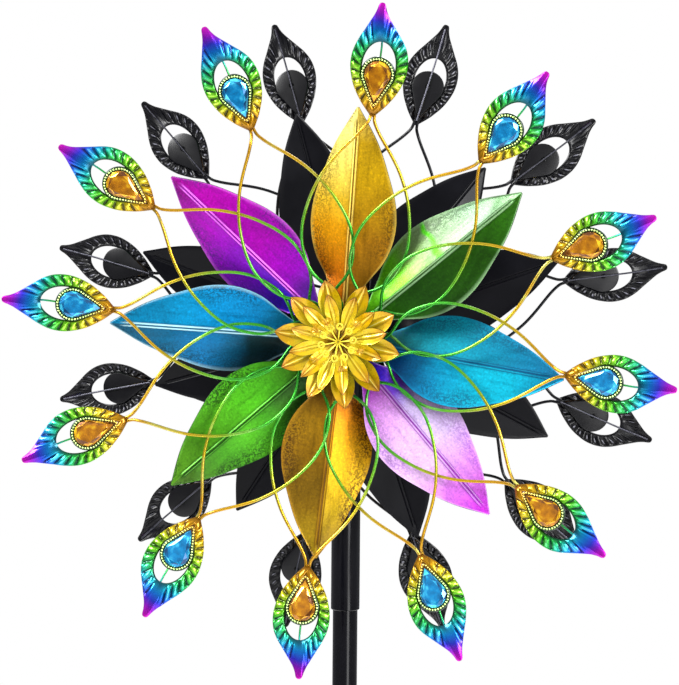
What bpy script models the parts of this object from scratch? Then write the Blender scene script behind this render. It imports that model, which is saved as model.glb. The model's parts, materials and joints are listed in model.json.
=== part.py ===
"""Kinetic wind sculpture: two peacock rotors that turn freely on one axle, on a garden pole.

Units are metres and +Z is up. The pole's axis is Z, and z = 0 is the soil line at the underside
of the ground fork's plate. The axle runs along Y at HUB_HEIGHT, and the front rotor faces -Y.
The rear rotor is the same assembly turned half a turn about Z, so it faces +Y.

Within a rotor, "forward" is the way it faces, away from the pole. Angles are measured
anticlockwise as seen from its own front, from its own right-hand side.
"""

import math

import bmesh
import bpy
from mathutils import Matrix, Vector

MM = 0.001
GAP = 0.3 * MM
WELD_DISTANCE = 0.01 * MM
TURN_STEPS = 20

# Pole and ground fork
HUB_HEIGHT = 1.430
PRONG_DEPTH = 0.170
PRONG_RADIUS = 4 * MM
PRONG_CIRCLE = 45 * MM
PRONG_POINT = 20 * MM
PRONG_TIP_RADIUS = 0.8 * MM
PRONG_SIDES = 10
PRONG_COUNT = 4
PLATE_RADIUS = 58 * MM
PLATE_THICKNESS = 4 * MM
SOCKET_OUTER = 14 * MM
SOCKET_HEIGHT = 0.100
POLE_RADIUS = 11.65 * MM
POLE_WALL = 1.2 * MM
SLIP = 0.35 * MM
SPIGOT_LENGTH = 0.050
SWAGE_LENGTH = 6 * MM
POLE_JOINTS = (0.455, 0.905)
POLE_TOP = 1.237
SLEEVE_OUTER = 13.5 * MM
SLEEVE_INNER = 12.0 * MM
SLEEVE_DROP = 0.259

# Head, axle and hubs, measured along the axle from the pole's axis
CROSSTUBE_RADIUS = 15 * MM
CROSSTUBE_HALF = 26 * MM
CROSSTUBE_CHAMFER = 1 * MM
AXLE_RADIUS = 4 * MM
AXLE_HALF = 72.5 * MM
BUSH_BORE = 4.08 * MM
BUSH_RADIUS = 9 * MM
BUSH_SET_IN = 1 * MM
HUB_BACK = 30 * MM
HUB_FLANGE = 51.5 * MM
HUB_FRONT = 76 * MM
HUB_COUNTERBORE = 62.5 * MM
HUB_BACK_RADIUS = 15 * MM
HUB_BARREL_RADIUS = 19 * MM
HUB_BARREL_BORE = 10.5 * MM
FLANGE_RADIUS = 34 * MM
FLANGE_THICKNESS = 2 * MM
NUT_BACK = 63.5 * MM
NUT_THICKNESS = 6.5 * MM
NUT_ACROSS_FLATS = 13 * MM

# Wires: pairs that bulge round each feather's stem and meet at its base
WIRE_RADIUS = 1.45 * MM
WIRE_LAYER = 1.8 * MM
WIRE_RING = (19.4 * MM, 30 * MM)
WIRE_RING_SPAN = (60 * MM, 66.5 * MM)
WIRE_START = 25 * MM
WIRE_START_FORWARD = 63.2 * MM
WIRE_BOW = 3 * MM
FEATHER_BASE_RADIUS = 206.5 * MM
FEATHER_BASE_FORWARD = 89 * MM
# how far a wire swings from its feather's centre line: radius in mm, angle in degrees
WIRE_SWING = (
    (25, 3.5), (36, 8.5), (46, 18), (54, 26), (64, 30.6), (78, 31.4), (100, 28.8),
    (130, 20.8), (160, 12), (186, 4), (206, 1.1),
)

# Leaf blades: radius in mm, half width in mm, at the points that shape a full-length one
LEAF_REACH = 211 * MM
LEAF_OUTLINE = (
    (22, 5), (38, 10), (54, 20), (76, 35), (100, 42), (124, 41), (150, 33), (180, 20.5), (211, 1),
)
LEAF_THICKNESS = 0.9 * MM
LEAF_ROOT_FORWARD = 54.4 * MM
LEAF_FLAT_TO = 34 * MM
LEAF_PITCHED_FROM = 62 * MM
LEAF_RISE = 0.138
LEAF_PITCH = math.radians(18)
LEAF_FOLD = math.radians(10)
LEAF_COLUMNS = 5

# Feather plates: distance from the base in mm, half width in mm
FEATHER_OUTLINE = (
    (0.4, 2.4), (8, 9.4), (21, 18.4), (34, 24), (47, 25.9),
    (60, 24.1), (72, 18.4), (84, 10.8), (92.5, 5.8), (100.3, 2.9), (102.4, 0),
)
FEATHER_HOOKED = (60, 100)
FEATHER_THICKNESS = 1.4 * MM
FEATHER_TILT = math.radians(12)
GEM_CENTRE = 38.5 * MM
GEM_CUP_RADIUS = 15.6 * MM
GEM_CUP_POINT = 30.5 * MM
GEM_CUP_FRONT = 4.2 * MM
CUP_MARGIN = 0.6 * MM
OPENING_CORNER = 46.5 * MM
OPENING_DEPTH = 21 * MM
CUP_POINTS = 11
CRESCENT_POINTS = 5

# Flower rings: petal tip, shoulder, valley and core radius, and how far forward the middle
# and the tips lie
FLOWER_PETALS = 10
FLOWER_THICKNESS = 1 * MM
FLOWER_OFFSET = 4
OUTER_FLOWER = (58 * MM, 47 * MM, 27 * MM, 20 * MM, 76.9 * MM, 82 * MM)
INNER_FLOWER = (43 * MM, 34 * MM, 21 * MM, 15 * MM, 80.5 * MM, 92 * MM)

# Each rotor's parts, bent and welded by hand a little off an even spacing. Feathers and leaves are
# angles round the rotor and leans turn each feather's tip, all in degrees. The hook is how far a
# feather's tip is bent to one side, and the leaves' reaches are in mm.
FRONT = {
    "feathers": (82.5, 51.5, 21.5, -8, -37.5, -67.5, -98, -128.5, -158.5, 172, 144, 112),
    "leans": (0, 3, 2.5, 3.5, 0, -1.5, 6.5, 12, -1, 3.5, 3.5, 3.5),
    "hook": 4 * MM,
    "leaves": (86, 136.5, 176.5, 221.5, 264.5, 312, 351.5, 40),
    "reaches": (212.5, 213.5, 211, 204, 200, 207.5, 206, 213),
    "flower": 102,
}
REAR = {
    "feathers": (105, 135.5, 165.5, 198, 224, 253.5, 283, 313, 344, 13.5, 44, 74),
    "leans": (2.5, 8, 8, 7, 1, 1, 1, 7, 5, 2, 4.5, -0.4),
    "hook": -1 * MM,
    "leaves": (74.5, 128.5, 161, 208.5, 253, 303, 344, 19.5),
    "reaches": (215.5, 200, 205.5, 212, 210, 212, 203.5, 220),
    "flower": 84,
}
LEAF_COLOURS = ("gold", "purple", "teal", "green", "gold", "magenta", "teal", "green")


def paint(name, colour, roughness, metallic):
    """A plain Principled BSDF for one material slot."""
    made = bpy.data.materials.new(name)
    made.use_nodes = True
    shader = made.node_tree.nodes["Principled BSDF"]
    shader.inputs["Base Color"].default_value = (*colour, 1)
    shader.inputs["Roughness"].default_value = roughness
    shader.inputs["Metallic"].default_value = metallic
    made.diffuse_color = (*colour, 1)
    return made


def make_paints():
    return {
        "black": paint("black_powder_coat", (0.012, 0.012, 0.016), 0.38, 0.2),
        "steel": paint("bright_steel", (0.55, 0.55, 0.56), 0.3, 1),
        "bronze": paint("sintered_bronze", (0.45, 0.28, 0.12), 0.4, 1),
        "gold": paint("gold_lacquer", (0.78, 0.46, 0.03), 0.3, 0.8),
        "purple": paint("purple_lacquer", (0.36, 0.0, 0.42), 0.3, 0.8),
        "teal": paint("teal_lacquer", (0.0, 0.36, 0.58), 0.3, 0.8),
        "green": paint("green_lacquer", (0.07, 0.36, 0.02), 0.3, 0.8),
        "magenta": paint("magenta_lacquer", (0.62, 0.1, 0.6), 0.3, 0.8),
        "feather": paint("feather_lacquer", (0.05, 0.4, 0.12), 0.3, 0.8),
        "wire": paint("wire_lacquer", (0.3, 0.5, 0.05), 0.35, 0.6),
        "flower": paint("flower_lacquer", (0.8, 0.5, 0.03), 0.3, 0.8),
    }


def blend(value, low, high):
    """0 below low, 1 above high, and smooth between them."""
    share = min(max((value - low) / (high - low), 0), 1)
    return share * share * (3 - 2 * share)


def through(points, value):
    """The smooth curve through (position, size) points, read at one position."""
    last = len(points) - 2
    index = min(max(sum(p[0] <= value for p in points) - 1, 0), last)
    before = points[max(index - 1, 0)]
    start, end = points[index], points[index + 1]
    after = points[min(index + 2, last + 1)]
    span = end[0] - start[0]
    share = (value - start[0]) / span
    leave = (end[1] - before[1]) / (end[0] - before[0]) * span
    reach = (after[1] - start[1]) / (after[0] - start[0]) * span
    square, cube = share**2, share**3
    return (
        (2 * cube - 3 * square + 1) * start[1]
        + (cube - 2 * square + share) * leave
        + (3 * square - 2 * cube) * end[1]
        + (cube - square) * reach
    )


def add_object(name, mesh, colour, parts, parent=None):
    mesh.materials.clear()
    mesh.materials.append(colour)
    made = bpy.data.objects.new(name, mesh)
    parts.objects.link(made)
    made.parent = parent
    return made


def mesh_from(build, name):
    """A mesh filled by build(bmesh)."""
    work = bmesh.new()
    build(work)
    mesh = bpy.data.meshes.new(name)
    work.to_mesh(mesh)
    work.free()
    return mesh


def turned(name, profile, colour, parts, parent=None):
    """A closed (radius, height) profile turned about the object's Z axis."""

    def outline(work):
        points = [work.verts.new((radius, 0, height)) for radius, height in profile]
        for start, end in zip(points, points[1:] + points[:1]):
            work.edges.new((start, end))

    made = add_object(name, mesh_from(outline, name), colour, parts, parent)
    screw = made.modifiers.new("turn", "SCREW")
    screw.steps = TURN_STEPS
    screw.render_steps = TURN_STEPS
    screw.use_merge_vertices = True
    screw.merge_threshold = WELD_DISTANCE
    screw.use_normal_calculate = False
    return made


def tube_profile(outer, inner, low, high):
    return [(outer, high), (outer, low), (inner, low), (inner, high)]


def evaluated_mesh(made):
    """The object's mesh with its modifiers applied; the object itself is removed."""
    graph = bpy.context.evaluated_depsgraph_get()
    mesh = bpy.data.meshes.new_from_object(made.evaluated_get(graph))
    bpy.data.objects.remove(made)
    return mesh


def welded(mesh):
    """A curve's mesh with its loose caps joined to its sides."""
    work = bmesh.new()
    work.from_mesh(mesh)
    bmesh.ops.remove_doubles(work, verts=work.verts, dist=WELD_DISTANCE)
    bmesh.ops.recalc_face_normals(work, faces=work.faces)
    work.to_mesh(mesh)
    work.free()
    return mesh


def boolean(made, cutter, operation):
    """Applies one exact Boolean and removes the cutter."""
    cutter.hide_render = True
    cutter.display_type = "WIRE"
    modifier = made.modifiers.new(operation.lower(), "BOOLEAN")
    modifier.operation = operation
    modifier.solver = "EXACT"
    modifier.object = cutter
    bpy.context.view_layer.update()
    graph = bpy.context.evaluated_depsgraph_get()
    result = bpy.data.meshes.new_from_object(made.evaluated_get(graph))
    made.modifiers.clear()
    made.data = result
    bpy.data.objects.remove(cutter)
    return made


def cylinder(radius, low, high, segments=TURN_STEPS):
    """A bmesh builder for an upright cylinder between two heights."""

    def build(work):
        bmesh.ops.create_cone(
            work,
            cap_ends=True,
            segments=segments,
            radius1=radius,
            radius2=radius,
            depth=high - low,
            matrix=Matrix.Translation((0, 0, (low + high) / 2)),
        )

    return build


# Ground fork and pole


def ground_fork(paints, parts, cutters):
    """The plate at the soil line, with four pointed prongs under it."""
    plate = add_object(
        "ground_fork",
        mesh_from(cylinder(PLATE_RADIUS, 0, PLATE_THICKNESS), "ground_fork"),
        paints["black"],
        parts,
    )

    def prongs(work):
        shaft = (
            (PRONG_RADIUS, PLATE_THICKNESS / 2),
            (PRONG_RADIUS, PRONG_POINT - PRONG_DEPTH),
            (PRONG_TIP_RADIUS, -PRONG_DEPTH),
        )
        for number in range(PRONG_COUNT):
            angle = math.tau * (number + 0.5) / PRONG_COUNT
            place = Vector((math.cos(angle), math.sin(angle), 0)) * PRONG_CIRCLE
            rings = []
            for radius, height in shaft:
                ring = bmesh.ops.create_circle(work, segments=PRONG_SIDES, radius=radius)
                bmesh.ops.translate(work, verts=ring["verts"], vec=place + Vector((0, 0, height)))
                rings.append(ring["verts"])
            for upper, lower in zip(rings, rings[1:]):
                for corner in range(PRONG_SIDES):
                    beside = (corner + 1) % PRONG_SIDES
                    work.faces.new(
                        (upper[corner], lower[corner], lower[beside], upper[beside])
                    )
            work.faces.new(rings[0])
            work.faces.new(rings[-1][::-1])

    cutter = add_object("prongs", mesh_from(prongs, "prongs"), paints["black"], cutters)
    return boolean(plate, cutter, "UNION")


def pole_section(name, low, high, paints, parts, spigot=True):
    """A tube whose lower end is swaged down to plug into the section below it."""
    inner = POLE_RADIUS - POLE_WALL
    if not spigot:
        return turned(
            name, tube_profile(POLE_RADIUS, inner, low, high), paints["black"], parts
        )
    plug = inner - SLIP
    profile = [
        (POLE_RADIUS, high),
        (POLE_RADIUS, low + POLE_RADIUS - plug),
        (plug, low + GAP),
        (plug, low - SPIGOT_LENGTH),
        (plug - POLE_WALL, low - SPIGOT_LENGTH),
        (plug - POLE_WALL, low + SWAGE_LENGTH / 2),
        (inner, low + SWAGE_LENGTH),
        (inner, high),
    ]
    return turned(name, profile, paints["black"], parts)


def pole(paints, parts, cutters):
    ground_fork(paints, parts, cutters)
    base = PLATE_THICKNESS + GAP
    turned(
        "fork_socket",
        tube_profile(SOCKET_OUTER, POLE_RADIUS + SLIP, base, base + SOCKET_HEIGHT),
        paints["black"],
        parts,
    )
    lower, upper = POLE_JOINTS
    pole_section("pole_lower", base, lower - GAP, paints, parts, spigot=False)
    pole_section("pole_middle", lower, upper - GAP, paints, parts)
    pole_section("pole_upper", upper, POLE_TOP, paints, parts)


# Head and axle


def head(paints, parts, cutters, axle_frame):
    """The sleeve, the cross tube it carries, the fixed axle and its two nuts."""
    sleeve = turned(
        "head_sleeve",
        tube_profile(SLEEVE_OUTER, SLEEVE_INNER, HUB_HEIGHT - SLEEVE_DROP, HUB_HEIGHT),
        paints["black"],
        parts,
    )
    mesh = evaluated_mesh(sleeve)
    sleeve = add_object("head_sleeve", mesh, paints["black"], parts)
    cope = add_object(
        "cope",
        mesh_from(
            cylinder(CROSSTUBE_RADIUS + GAP, -CROSSTUBE_HALF, CROSSTUBE_HALF), "cope"
        ),
        paints["black"],
        cutters,
    )
    cope.location = (0, 0, HUB_HEIGHT)
    cope.rotation_euler = (math.pi / 2, 0, 0)
    boolean(sleeve, cope, "DIFFERENCE")

    turned(
        "head_crosstube",
        [
            (CROSSTUBE_RADIUS - CROSSTUBE_CHAMFER, CROSSTUBE_HALF),
            (CROSSTUBE_RADIUS, CROSSTUBE_HALF - CROSSTUBE_CHAMFER),
            (CROSSTUBE_RADIUS, CROSSTUBE_CHAMFER - CROSSTUBE_HALF),
            (CROSSTUBE_RADIUS - CROSSTUBE_CHAMFER, -CROSSTUBE_HALF),
            (AXLE_RADIUS + GAP, -CROSSTUBE_HALF),
            (AXLE_RADIUS + GAP, CROSSTUBE_HALF),
        ],
        paints["black"],
        parts,
        axle_frame,
    )
    add_object(
        "axle",
        mesh_from(cylinder(AXLE_RADIUS, -AXLE_HALF, AXLE_HALF), "axle"),
        paints["steel"],
        parts,
        axle_frame,
    )
    corner = NUT_ACROSS_FLATS / 2 / math.cos(math.pi / 6)
    for name, side in (("axle_nut_front", 1), ("axle_nut_rear", -1)):
        middle = side * (NUT_BACK + NUT_THICKNESS / 2)
        low, high = middle - NUT_THICKNESS / 2, middle + NUT_THICKNESS / 2
        nut = add_object(
            name, mesh_from(cylinder(corner, low, high, 6), name), paints["steel"], parts
        )
        bore = add_object(
            "nut_bore",
            mesh_from(cylinder(AXLE_RADIUS + GAP, low - MM, high + MM), "nut_bore"),
            paints["steel"],
            cutters,
        )
        boolean(nut, bore, "DIFFERENCE")
        nut.parent = axle_frame


# Rotor pieces


def hub(name, paints, parts, frame):
    """Turned hub: a back barrel, a flange for the leaves and a front barrel round the nut."""
    bore = BUSH_RADIUS + GAP
    profile = [
        (HUB_BARREL_RADIUS, HUB_FRONT),
        (HUB_BARREL_RADIUS, HUB_FLANGE + FLANGE_THICKNESS),
        (FLANGE_RADIUS, HUB_FLANGE + FLANGE_THICKNESS),
        (FLANGE_RADIUS, HUB_FLANGE),
        (HUB_BACK_RADIUS, HUB_FLANGE),
        (HUB_BACK_RADIUS, HUB_BACK),
        (bore, HUB_BACK),
        (bore, HUB_COUNTERBORE),
        (HUB_BARREL_BORE, HUB_COUNTERBORE),
        (HUB_BARREL_BORE, HUB_FRONT),
    ]
    made = turned(name, profile, paints["black"], parts, frame)
    made.rotation_euler = (math.pi / 2, 0, 0)


def bush(name, paints, parts, frame):
    profile = tube_profile(
        BUSH_RADIUS, BUSH_BORE, HUB_BACK + BUSH_SET_IN, HUB_COUNTERBORE - BUSH_SET_IN
    )
    made = turned(name, profile, paints["bronze"], parts, frame)
    made.rotation_euler = (math.pi / 2, 0, 0)


def wire_forward(radius):
    """How far forward the wires' mid plane lies at a radius."""
    share = (radius - WIRE_START) / (FEATHER_BASE_RADIUS - WIRE_START)
    rise = FEATHER_BASE_FORWARD - WIRE_START_FORWARD
    return WIRE_START_FORWARD + rise * share + WIRE_BOW * math.sin(math.pi * share)


def wire_curve(angle, side):
    """The POLY spline points of one wire: side is 1 for the anticlockwise wire, in front."""
    points = []
    for radius_mm, _ in WIRE_SWING:
        radius = min(radius_mm * MM, FEATHER_BASE_RADIUS - GAP)
        turn = angle + side * math.radians(through(WIRE_SWING, radius_mm))
        forward = wire_forward(radius) + side * WIRE_LAYER
        points.append((radius * math.cos(turn), -forward, radius * math.sin(turn)))
    return points


def wire_layer(name, angles, side, colour, cutters):
    """One layer's wires as a mesh, each a closed tube."""
    curve = bpy.data.curves.new(name, "CURVE")
    curve.dimensions = "3D"
    curve.bevel_depth = WIRE_RADIUS
    curve.bevel_resolution = 1
    curve.use_fill_caps = True
    for angle in angles:
        points = wire_curve(math.radians(angle), side)
        spline = curve.splines.new("POLY")
        spline.points.add(len(points) - 1)
        for target, point in zip(spline.points, points):
            target.co = (*point, 1)
    guide = bpy.data.objects.new(name, curve)
    cutters.objects.link(guide)
    bpy.context.view_layer.update()
    return add_object(name, welded(evaluated_mesh(guide)), colour, cutters)


def wire_frame(name, angles, paints, parts, cutters, frame):
    """The ring on the hub's barrel and its 24 wires, welded into one piece."""
    inner, outer = WIRE_RING
    back, front = WIRE_RING_SPAN
    ring = turned("ring", tube_profile(outer, inner, back, front), paints["wire"], cutters)
    mesh = evaluated_mesh(ring)
    mesh.transform(Matrix.Rotation(math.pi / 2, 4, "X"))
    made = add_object(name, mesh, paints["wire"], parts)
    for side in (-1, 1):
        layer = wire_layer(f"{name}_layer", angles, side, paints["wire"], cutters)
        boolean(made, layer, "UNION")
    made.parent = frame


def leaf_point(radius_mm, column):
    """A point on a leaf's middle surface, in a frame with X outward and Y backward."""
    radius = radius_mm * MM
    half_width = through(LEAF_OUTLINE, radius_mm) * MM
    set_in = blend(radius, LEAF_FLAT_TO, LEAF_PITCHED_FROM)
    pitch, fold = LEAF_PITCH * set_in, LEAF_FOLD * set_in
    across = column * half_width
    raised = -abs(across) * math.tan(fold)
    rib = LEAF_ROOT_FORWARD + LEAF_RISE * max(radius - LEAF_FLAT_TO, 0)
    forward = rib + raised * math.cos(pitch) - across * math.sin(pitch)
    sideways = across * math.cos(pitch) + raised * math.sin(pitch)
    return Vector((radius, -forward, sideways))


def leaf_mesh(reach):
    """One leaf blade: a folded sheet, its clockwise edge pitched forward."""
    rows = len(LEAF_OUTLINE)

    def build(work):
        bmesh.ops.create_grid(
            work, x_segments=rows - 1, y_segments=LEAF_COLUMNS - 1, size=0.5
        )
        for point in work.verts:
            row = round((point.co.x + 0.5) * (rows - 1))
            point.co = leaf_point(LEAF_OUTLINE[row][0], 2 * point.co.y)
            point.co.x *= reach / LEAF_REACH

    return mesh_from(build, "leaf")


def add_sheet(made, thickness):
    solid = made.modifiers.new("sheet", "SOLIDIFY")
    solid.thickness = thickness
    solid.offset = 0
    return made


def feather_outline(hook):
    """The plate's edge, up one side and down the other, with its tip bent to one side."""
    side = [
        (along * MM, half * MM, hook * blend(along, *FEATHER_HOOKED))
        for along, half in FEATHER_OUTLINE
    ]
    left = [(along, middle + half) for along, half, middle in side]
    right = [(along, middle - half) for along, half, middle in side[:-1]]
    return left + right[::-1]


def arc(centre, radius, start, end, count):
    """Points of an arc about a centre on the feather's rib, from one angle to another."""
    turns = [start + (end - start) * step / (count - 1) for step in range(count)]
    return [(centre + radius * math.cos(turn), radius * math.sin(turn)) for turn in turns]


def teardrop():
    """The gem cup's edge: a round end outward and a point toward the feather's base."""
    touch = math.pi - math.acos(GEM_CUP_RADIUS / GEM_CUP_POINT)
    edge = arc(GEM_CENTRE, GEM_CUP_RADIUS, touch, -touch, CUP_POINTS)
    return edge + [(GEM_CENTRE - GEM_CUP_POINT, 0)]


def crescent():
    """The opening between the gem cup and the rim, as an outer and an inner arc."""
    inner_radius = GEM_CUP_RADIUS + CUP_MARGIN
    turn = math.acos((OPENING_CORNER - GEM_CENTRE) / inner_radius)
    half = inner_radius * math.sin(turn)
    outer = arc(0, 1, math.pi / 2, -math.pi / 2, CRESCENT_POINTS + 2)
    inner = arc(GEM_CENTRE, inner_radius, -turn, turn, CRESCENT_POINTS)
    return [
        (OPENING_CORNER + OPENING_DEPTH * along, half * across) for along, across in outer
    ] + inner[1:-1]


def plate(name, outline, back, front, colour, cutters):
    """A flat outline extruded between two distances forward, as a closed mesh object."""
    curve = bpy.data.curves.new(name, "CURVE")
    curve.dimensions = "2D"
    curve.fill_mode = "BOTH"
    curve.extrude = (front - back) / 2
    spline = curve.splines.new("POLY")
    spline.points.add(len(outline) - 1)
    for target, (along, across) in zip(spline.points, outline):
        target.co = (along, across, 0, 1)
    spline.use_cyclic_u = True
    guide = bpy.data.objects.new(name, curve)
    cutters.objects.link(guide)
    bpy.context.view_layer.update()
    mesh = evaluated_mesh(guide)
    mesh.transform(
        Matrix.Rotation(math.pi / 2, 4, "X") @ Matrix.Translation((0, 0, (front + back) / 2))
    )
    return add_object(name, welded(mesh), colour, cutters)


def feather_mesh(hook, paints, cutters):
    """The stamped plate with its crescent opening, and the raised cup that holds the gem."""
    made = plate(
        "feather", feather_outline(hook), -FEATHER_THICKNESS, 0, paints["feather"], cutters
    )
    opening = plate(
        "opening", crescent(), -2 * FEATHER_THICKNESS, FEATHER_THICKNESS, paints["feather"], cutters
    )
    boolean(made, opening, "DIFFERENCE")
    cup = plate(
        "cup", teardrop(), -FEATHER_THICKNESS / 2, GEM_CUP_FRONT, paints["feather"], cutters
    )
    boolean(made, cup, "UNION")
    mesh = made.data
    bpy.data.objects.remove(made)
    return mesh


def flower_mesh(shape):
    """One ring of petals as a single dished sheet: a middle, a core ring and the petals' edge."""
    tip, shoulder, valley, core, middle_forward, tip_forward = shape
    edge = (tip, shoulder, valley, shoulder) * FLOWER_PETALS

    def ring(work, radii):
        made = []
        for step, radius in enumerate(radii):
            turn = math.tau * step / len(radii)
            forward = middle_forward + (tip_forward - middle_forward) * (radius / tip) ** 2
            made.append(
                work.verts.new((radius * math.cos(turn), -forward, radius * math.sin(turn)))
            )
        return made

    def build(work):
        middle = work.verts.new((0, -middle_forward, 0))
        near = ring(work, [core] * len(edge))
        far = ring(work, edge)
        for here in range(len(edge)):
            beside = (here + 1) % len(edge)
            work.faces.new((middle, near[here], near[beside]))
            work.faces.new((near[here], far[here], far[beside], near[beside]))

    return mesh_from(build, "flower")


def rotor(prefix, setting, shapes, paints, parts, cutters, frame):
    """One rotor: hub, bush, wire frame, 8 leaves, 12 feathers and the flower."""
    hub(f"{prefix}_hub", paints, parts, frame)
    bush(f"{prefix}_bearing_bush", paints, parts, frame)
    wire_frame(
        f"{prefix}_wire_frame", setting["feathers"], paints, parts, cutters, frame
    )
    for number, (angle, reach) in enumerate(zip(setting["leaves"], setting["reaches"])):
        colour = paints[LEAF_COLOURS[number]]
        leaf = add_object(
            f"{prefix}_leaf_{number + 1}", leaf_mesh(reach * MM), colour, parts, frame
        )
        leaf.rotation_euler = (0, -math.radians(angle), 0)
        add_sheet(leaf, LEAF_THICKNESS)
    for number, angle in enumerate(setting["feathers"]):
        feather = add_object(
            f"{prefix}_feather_{number + 1:02d}", shapes[prefix], paints["feather"], parts, frame
        )
        turn = math.radians(angle)
        bent = math.atan2(setting["hook"], FEATHER_OUTLINE[-1][0] * MM)
        lean = math.radians(setting["leans"][number]) - bent
        feather.matrix_local = (
            Matrix.Translation(
                (
                    FEATHER_BASE_RADIUS * math.cos(turn),
                    -FEATHER_BASE_FORWARD,
                    FEATHER_BASE_RADIUS * math.sin(turn),
                )
            )
            @ Matrix.Rotation(-(turn + lean), 4, "Y")
            @ Matrix.Rotation(-FEATHER_TILT, 4, "Z")
        )
    for ring, offset in (("outer", 0), ("inner", FLOWER_OFFSET)):
        flower = add_object(
            f"{prefix}_flower_{ring}", shapes[ring], paints["flower"], parts, frame
        )
        flower.rotation_euler = (0, -math.radians(setting["flower"] - offset), 0)
        add_sheet(flower, FLOWER_THICKNESS)


def empty(name, parts, parent=None):
    made = bpy.data.objects.new(name, None)
    parts.objects.link(made)
    made.parent = parent
    return made


def main():
    for old in list(bpy.data.objects):
        bpy.data.objects.remove(old)
    parts = bpy.data.collections.new("wind_sculpture")
    cutters = bpy.data.collections.new("cutters")
    bpy.context.scene.collection.children.link(parts)
    bpy.context.scene.collection.children.link(cutters)
    paints = make_paints()

    pole(paints, parts, cutters)
    # the axle's own Z axis points to the front, along -Y
    axle_frame = empty("axle_frame", parts)
    axle_frame.location = (0, 0, HUB_HEIGHT)
    axle_frame.rotation_euler = (math.pi / 2, 0, 0)
    head(paints, parts, cutters, axle_frame)

    shapes = {
        "front": feather_mesh(FRONT["hook"], paints, cutters),
        "rear": feather_mesh(REAR["hook"], paints, cutters),
        "outer": flower_mesh(OUTER_FLOWER),
        "inner": flower_mesh(INNER_FLOWER),
    }
    for prefix, setting, facing in (("front", FRONT, 0), ("rear", REAR, math.pi)):
        frame = empty(f"{prefix}_rotor_frame", parts)
        frame.location = (0, 0, HUB_HEIGHT)
        frame.rotation_euler = (0, 0, facing)
        rotor(prefix, setting, shapes, paints, parts, cutters, frame)


main()
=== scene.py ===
"""Looks of the kinetic wind sculpture: two peacock rotors of lacquered leaves, looped wires and
jewelled feathers, which turn freely on one axle at the top of a black garden pole.

Lengths are in millimetres where a name or a comment says so, and in metres elsewhere. A rotor's
pieces are made in that rotor's own frame: the hub's middle is the origin, X and Z span the
rotor's plane, and "forward" is the way it faces, along -Y. Angles run anticlockwise as seen from
the rotor's front. The painted side is the front, and the back is black.
"""

import json
import math

import bmesh
import bpy
import numpy as np
from mathutils import Matrix, Vector


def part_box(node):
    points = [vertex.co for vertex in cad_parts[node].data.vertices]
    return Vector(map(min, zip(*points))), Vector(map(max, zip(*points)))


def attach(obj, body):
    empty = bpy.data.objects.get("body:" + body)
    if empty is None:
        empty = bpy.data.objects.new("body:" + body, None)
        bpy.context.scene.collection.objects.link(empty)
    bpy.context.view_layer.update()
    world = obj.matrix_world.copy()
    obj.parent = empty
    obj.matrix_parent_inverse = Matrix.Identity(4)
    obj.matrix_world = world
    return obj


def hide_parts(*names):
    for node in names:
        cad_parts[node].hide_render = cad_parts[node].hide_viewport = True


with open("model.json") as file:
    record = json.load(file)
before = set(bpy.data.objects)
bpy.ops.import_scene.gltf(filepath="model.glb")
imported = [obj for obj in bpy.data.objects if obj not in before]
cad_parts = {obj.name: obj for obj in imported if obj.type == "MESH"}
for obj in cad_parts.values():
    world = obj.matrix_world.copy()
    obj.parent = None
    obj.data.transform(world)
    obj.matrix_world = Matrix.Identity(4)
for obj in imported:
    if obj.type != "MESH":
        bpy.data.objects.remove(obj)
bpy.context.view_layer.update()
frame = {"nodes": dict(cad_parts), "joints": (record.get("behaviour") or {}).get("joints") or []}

MM = 0.001
PAINTED, BACK = 0, 1
JOINTS = {joint["child"]: joint for joint in frame["joints"]}
HUB = Vector((0, 0, JOINTS["front_rotor"]["pos_m"][2]))
SMOOTH_ANGLE = math.radians(40)

# Camera and light
CAMERA_PLACE = HUB + Vector((0.2372, -2.4551, 0.1748))
CAMERA_YAW, CAMERA_PITCH, CAMERA_ROLL = (math.radians(angle) for angle in (5.69, -4.21, -0.46))
CAMERA_LENS = 138.65
SOFTBOXES = (
    ("key", (-2.3, -1.8, 2.2), (1.4, 1.4), 230),
    ("fill", (2.6, -1.7, 0.8), (1.2, 1.2), 100),
    ("back", (0.5, 2.6, 1.6), (1.8, 1.8), 45),
    ("strip", (1.7, -2.4, -0.5), (0.9, 1.6), 24),
)
HORIZON_AT, HORIZON_LIGHT = 0.3, (0.18, 0.18, 0.2, 1)
OVERHEAD_AT, OVERHEAD_LIGHT = 0.9, (0.95, 0.95, 0.95, 1)
FLOOR_RADIUS = 3.0

# Leaves, in mm: radius and half width at the points that shape a full-length blade
LEAF_REACH = 211
LEAF_OUTLINE = (
    (22, 5), (38, 10), (54, 20), (76, 35), (100, 42), (124, 41), (150, 33), (180, 20.5), (211, 1),
)
LEAF_THICKNESS = 0.9
LEAF_ROOT_FORWARD = 54.4
LEAF_FLAT_TO, LEAF_PITCHED_FROM = 34, 62
LEAF_RISE = 0.138
LEAF_PITCH, LEAF_FOLD = math.radians(18), math.radians(10)
LEAF_ROWS, LEAF_COLUMNS = 72, 33
RIB_HALF = 3.0
RIB_CREST = 1.45
RIB_HEIGHT = 1.0
RIB_END = 203

# Wires, in mm and degrees: how far a wire swings from its feather's centre line
WIRE_RADIUS = 1.45
WIRE_LAYER = 1.8
WIRE_START, WIRE_START_FORWARD = 25, 63.2
WIRE_BOW = 3
WIRE_SWING = (
    (25, 3.5), (36, 8), (46, 16), (56, 25.5), (66, 30), (78, 31), (100, 28.6),
    (130, 20.8), (160, 12), (186, 3.9), (200, 0.9), (210, 0.35),
)
WIRE_POINTS = 120
WIRE_END_FORWARD = 86.2
FEATHER_BASE_RADIUS, FEATHER_BASE_FORWARD = 206.5, 89

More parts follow.
